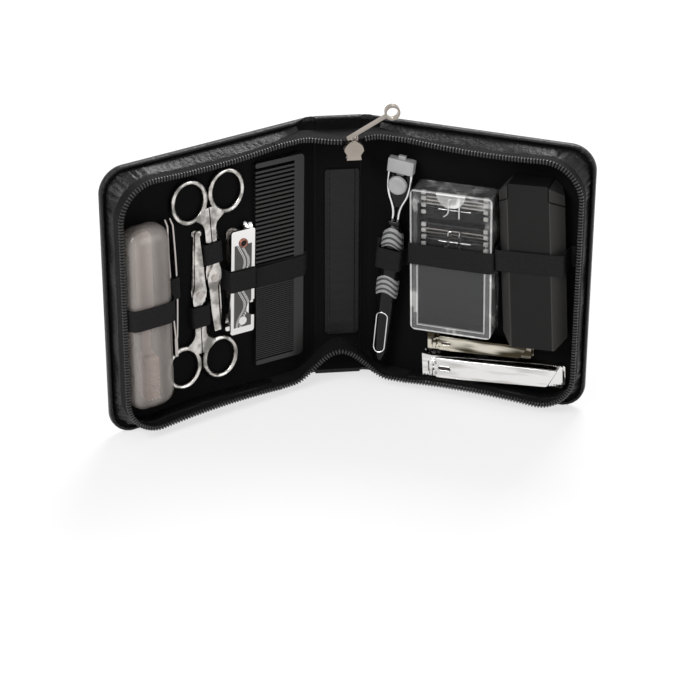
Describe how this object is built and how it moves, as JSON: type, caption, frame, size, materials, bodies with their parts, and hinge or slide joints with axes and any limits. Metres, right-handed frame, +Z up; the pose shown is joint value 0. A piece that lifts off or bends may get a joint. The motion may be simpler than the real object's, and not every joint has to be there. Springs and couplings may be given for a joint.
{
  "type": "manicure set case",
  "caption": "Zip-round folding case standing open, its two covers holding grooming tools in elastic loops.",
  "frame": {"origin": "foot of the spine, in the middle of its width and thickness, on the surface the open case stands on", "axes": "+X along the spine to the right as the open case is read, +Y out of the back of the spine, +Z up"},
  "size_m": [0.2755, 0.0771, 0.1797],
  "materials": {
    "black_leather": "glossy fine-grained black leatherette",
    "grey_board": "plain stiff card",
    "black_velvet": "matt black velvet lining",
    "black_tape": "woven zip tape and gusset cloth",
    "zip_plastic": "black moulded teeth",
    "black_elastic": "ribbed woven elastic",
    "nickel": "bright nickel",
    "chrome": "polished chrome",
    "satin_steel": "satin stainless steel",
    "comb_plastic": "semi-gloss black plastic",
    "smoke_plastic": "translucent smoky plastic",
    "brush_plastic": "pale plastic",
    "bristle_nylon": "nylon bristles",
    "black_gloss": "gloss black plastic",
    "grey_rubber": "grey ribbed rubber",
    "grey_plastic": "mid grey plastic",
    "clear_plastic": "clear plastic",
    "matt_black": "matt black plastic"
  },
  "bodies": {
    "spine": {"spine_leather": "black_leather", "spine_board": "grey_board", "spine_lining": "black_velvet", "spine_strap": "black_leather", "fold_leathers": "black_leather", "gusset_webs": "black_tape", "zip_ends": "zip_plastic", "zip_slider": "nickel"},
    "zip_pull": {"zip_pull": "nickel"},
    "left_cover": {"left_cover_leather": "black_leather", "left_cover_board": "grey_board", "left_cover_lining": "black_velvet", "left_gusset": "black_leather", "left_zip_tape": "black_tape", "left_zip_teeth": "zip_plastic", "left_elastic_loops": "black_elastic"},
    "right_cover": {"right_cover_leather": "black_leather", "right_cover_board": "grey_board", "right_cover_lining": "black_velvet", "right_gusset": "black_leather", "right_zip_tape": "black_tape", "right_zip_teeth": "zip_plastic", "right_elastic_loops": "black_elastic"},
    "brush_case": {"brush_case_lower": "smoke_plastic"},
    "brush_case_cap": {"brush_case_upper": "smoke_plastic"},
    "toothbrush": {"toothbrush_handle": "brush_plastic", "toothbrush_bristles": "bristle_nylon"},
    "tweezers": {"tweezers_fixed_arm": "satin_steel"},
    "tweezers_arm": {"tweezers_spring_arm": "satin_steel"},
    "nail_scissors": {"nail_scissors_back_half": "satin_steel", "nail_scissors_screw": "satin_steel"},
    "nail_scissors_front": {"nail_scissors_front_half": "satin_steel"},
    "hair_scissors": {"hair_scissors_front_half": "satin_steel", "hair_scissors_screw": "satin_steel"},
    "hair_scissors_back": {"hair_scissors_back_half": "satin_steel"},
    "pocket_tool": {"pocket_tool_scales": "chrome", "pocket_tool_rivets": "chrome"},
    "pocket_knife": {"pocket_tool_knife": "chrome"},
    "pocket_file": {"pocket_tool_file": "chrome"},
    "comb": {"comb": "comb_plastic"},
    "razor": {"razor_handle": "black_gloss", "razor_grips": "grey_rubber", "razor_badge": "nickel", "razor_neck": "grey_plastic"},
    "razor_ejector": {"razor_button": "grey_plastic", "razor_plunger": "grey_plastic"},
    "dispenser": {"dispenser_tray": "matt_black", "cartridge_frames": "matt_black", "cartridge_blades": "satin_steel"},
    "dispenser_lid": {"dispenser_cover": "clear_plastic"},
    "slim_case": {"slim_case_body": "matt_black"},
    "slim_cap": {"slim_case_cap": "matt_black"},
    "large_clipper": {"large_clipper_lower_leaf": "chrome"},
    "large_clipper_jaw": {"large_clipper_upper_leaf": "chrome"},
    "large_clipper_pin": {"large_clipper_pin": "chrome"},
    "large_clipper_lever": {"large_clipper_lever": "chrome"},
    "small_clipper": {"small_clipper_lower_leaf": "chrome"},
    "small_clipper_jaw": {"small_clipper_upper_leaf": "chrome"},
    "small_clipper_pin": {"small_clipper_pin": "chrome"},
    "small_clipper_lever": {"small_clipper_lever": "chrome"}
  },
  "joints": [
    {"name": "left_cover_fold", "type": "hinge", "parent": "spine", "child": "left_cover", "pos_m": [-0.01715, 0.0016, 0], "axis": [0, 0, -1], "range_deg": [-61.95, 26.5], "deforming": ["fold_leathers", "gusset_webs", "zip_ends"]},
    {"name": "right_cover_fold", "type": "hinge", "parent": "spine", "child": "right_cover", "pos_m": [0.01715, 0.0016, 0], "axis": [0, 0, 1], "range_deg": [-62.85, 25.6]},
    {"name": "zip_pull_swing", "type": "hinge", "parent": "spine", "child": "zip_pull", "pos_m": [0.0069, -0.02165, 0.1594], "axis": [0, 0, -1], "range_deg": [0, 170]},
    {"name": "brush_case_lift", "type": "slide", "parent": "left_cover", "child": "brush_case", "axis": [0.4462, -0.8949, 0], "range_m": [0, 0.06], "deforming": ["left_elastic_loops"]},
    {"name": "brush_case_open", "type": "slide", "parent": "brush_case", "child": "brush_case_cap", "axis": [0, 0, 1], "range_m": [0, 0.06]},
    {"name": "toothbrush_slide", "type": "slide", "parent": "brush_case", "child": "toothbrush", "axis": [0, 0, 1], "range_m": [0, 0.03]},
    {"name": "tweezers_lift", "type": "slide", "parent": "left_cover", "child": "tweezers", "axis": [0.4462, -0.8949, 0], "range_m": [0, 0.06]},
    {"name": "tweezers_squeeze", "type": "hinge", "parent": "tweezers", "child": "tweezers_arm", "pos_m": [-0.09973, -0.04348, 0.05541], "axis": [0.4462, -0.8949, 0], "range_deg": [0, 1.2], "stiffness_Nm_per_rad": 0.02},
    {"name": "nail_scissors_lift", "type": "slide", "parent": "left_cover", "child": "nail_scissors", "axis": [0.4462, -0.8949, 0], "range_m": [0, 0.075]},
    {"name": "nail_scissors_open", "type": "hinge", "parent": "nail_scissors", "child": "nail_scissors_front", "pos_m": [-0.07443, -0.03087, 0.08368], "axis": [-0.4462, 0.8949, 0], "range_deg": [0, 40]},
    {"name": "hair_scissors_lift", "type": "slide", "parent": "left_cover", "child": "hair_scissors", "axis": [0.4462, -0.8949, 0], "range_m": [0, 0.09]},
    {"name": "hair_scissors_open", "type": "hinge", "parent": "hair_scissors", "child": "hair_scissors_back", "pos_m": [-0.0834, -0.03534, 0.07539], "axis": [0.4462, -0.8949, 0], "range_deg": [0, 40]},
    {"name": "pocket_tool_lift", "type": "slide", "parent": "left_cover", "child": "pocket_tool", "axis": [0.4462, -0.8949, 0], "range_m": [0, 0.06]},
    {"name": "pocket_knife_open", "type": "hinge", "parent": "pocket_tool", "child": "pocket_knife", "pos_m": [-0.05981, -0.02358, 0.10297], "axis": [-0.4462, 0.8949, 0], "range_deg": [0, 170]},
    {"name": "pocket_file_open", "type": "hinge", "parent": "pocket_tool", "child": "pocket_file", "pos_m": [-0.06118, -0.02426, 0.054], "axis": [0.4462, -0.8949, 0], "range_deg": [0, 165]},
    {"name": "comb_lift", "type": "slide", "parent": "left_cover", "child": "comb", "axis": [0.4462, -0.8949, 0], "range_m": [0, 0.06]},
    {"name": "razor_lift", "type": "slide", "parent": "right_cover", "child": "razor", "axis": [-0.4321, -0.9018, 0], "range_m": [0, 0.08]},
    {"name": "razor_button_push", "type": "slide", "parent": "razor", "child": "razor_ejector", "axis": [0.088, -0.0422, 0.9952], "range_m": [0, 0.0022], "stiffness_N_per_m": 200},
    {"name": "dispenser_lift", "type": "slide", "parent": "right_cover", "child": "dispenser", "axis": [-0.4321, -0.9018, 0], "range_m": [0, 0.06], "deforming": ["right_elastic_loops"]},
    {"name": "dispenser_cover_slide", "type": "slide", "parent": "dispenser", "child": "dispenser_lid", "axis": [-0.0173, 0.0083, 0.9998], "range_m": [0, 0.06]},
    {"name": "slim_case_lift", "type": "slide", "parent": "right_cover", "child": "slim_case", "axis": [-0.4321, -0.9018, 0], "range_m": [0, 0.06]},
    {"name": "slim_case_open", "type": "slide", "parent": "slim_case", "child": "slim_cap", "axis": [-0.0551, 0.0264, 0.9981], "range_m": [0, 0.03]},
    {"name": "large_clipper_lift", "type": "slide", "parent": "right_cover", "child": "large_clipper", "axis": [-0.4321, -0.9018, 0], "range_m": [0, 0.06]},
    {"name": "large_lever_swivel", "type": "hinge", "parent": "large_clipper", "child": "large_clipper_pin", "pos_m": [0.05605, -0.02092, 0.0165], "axis": [-0.4321, -0.9018, 0], "range_deg": [0, 180]},
    {"name": "large_lever_flip", "type": "hinge", "parent": "large_clipper_pin", "child": "large_clipper_lever", "pos_m": [0.05151, -0.03039, 0.0165], "axis": [0.0472, -0.0226, -0.9986], "range_deg": [0, 150]},
    {"name": "large_jaw_press", "type": "hinge", "parent": "large_clipper", "child": "large_clipper_jaw", "pos_m": [0.11332, -0.05102, 0.01989], "axis": [0.0472, -0.0226, -0.9986], "range_deg": [0, 0.73], "stiffness_Nm_per_rad": 2},
    {"name": "small_clipper_lift", "type": "slide", "parent": "right_cover", "child": "small_clipper", "axis": [-0.4321, -0.9018, 0], "range_m": [0, 0.06]},
    {"name": "small_lever_swivel", "type": "hinge", "parent": "small_clipper", "child": "small_clipper_pin", "pos_m": [0.05731, -0.02152, 0.03273], "axis": [0.4321, 0.9018, 0], "range_deg": [0, 180]},
    {"name": "small_lever_flip", "type": "hinge", "parent": "small_clipper_pin", "child": "small_clipper_lever", "pos_m": [0.05325, -0.03, 0.03273], "axis": [0.0252, -0.0121, -0.9996], "range_deg": [0, 150]},
    {"name": "small_jaw_press", "type": "hinge", "parent": "small_clipper", "child": "small_clipper_jaw", "pos_m": [0.09907, -0.04419, 0.03405], "axis": [0.0252, -0.0121, -0.9996], "range_deg": [0, 0.99], "stiffness_Nm_per_rad": 2}
  ],
  "couplings": [
    {"joint": "brush_case_open", "follows": "brush_case_lift", "ratio": 1},
    {"joint": "toothbrush_slide", "follows": "brush_case_lift", "ratio": 0.5},
    {"joint": "nail_scissors_open", "follows": "nail_scissors_lift", "rad_per_m": 9.3074},
    {"joint": "hair_scissors_open", "follows": "hair_scissors_lift", "rad_per_m": 7.756},
    {"joint": "pocket_knife_open", "follows": "pocket_tool_lift", "rad_per_m": 49.45},
    {"joint": "pocket_file_open", "follows": "pocket_tool_lift", "rad_per_m": 47.996},
    {"joint": "dispenser_cover_slide", "follows": "dispenser_lift", "ratio": 1},
    {"joint": "slim_case_open", "follows": "slim_case_lift", "ratio": 0.5},
    {"joint": "large_lever_swivel", "follows": "large_clipper_lift", "rad_per_m": 52.359},
    {"joint": "large_lever_flip", "follows": "large_clipper_lift", "rad_per_m": 43.632},
    {"joint": "small_lever_swivel", "follows": "small_clipper_lift", "rad_per_m": 52.359},
    {"joint": "small_lever_flip", "follows": "small_clipper_lift", "rad_per_m": 43.632}
  ]
}
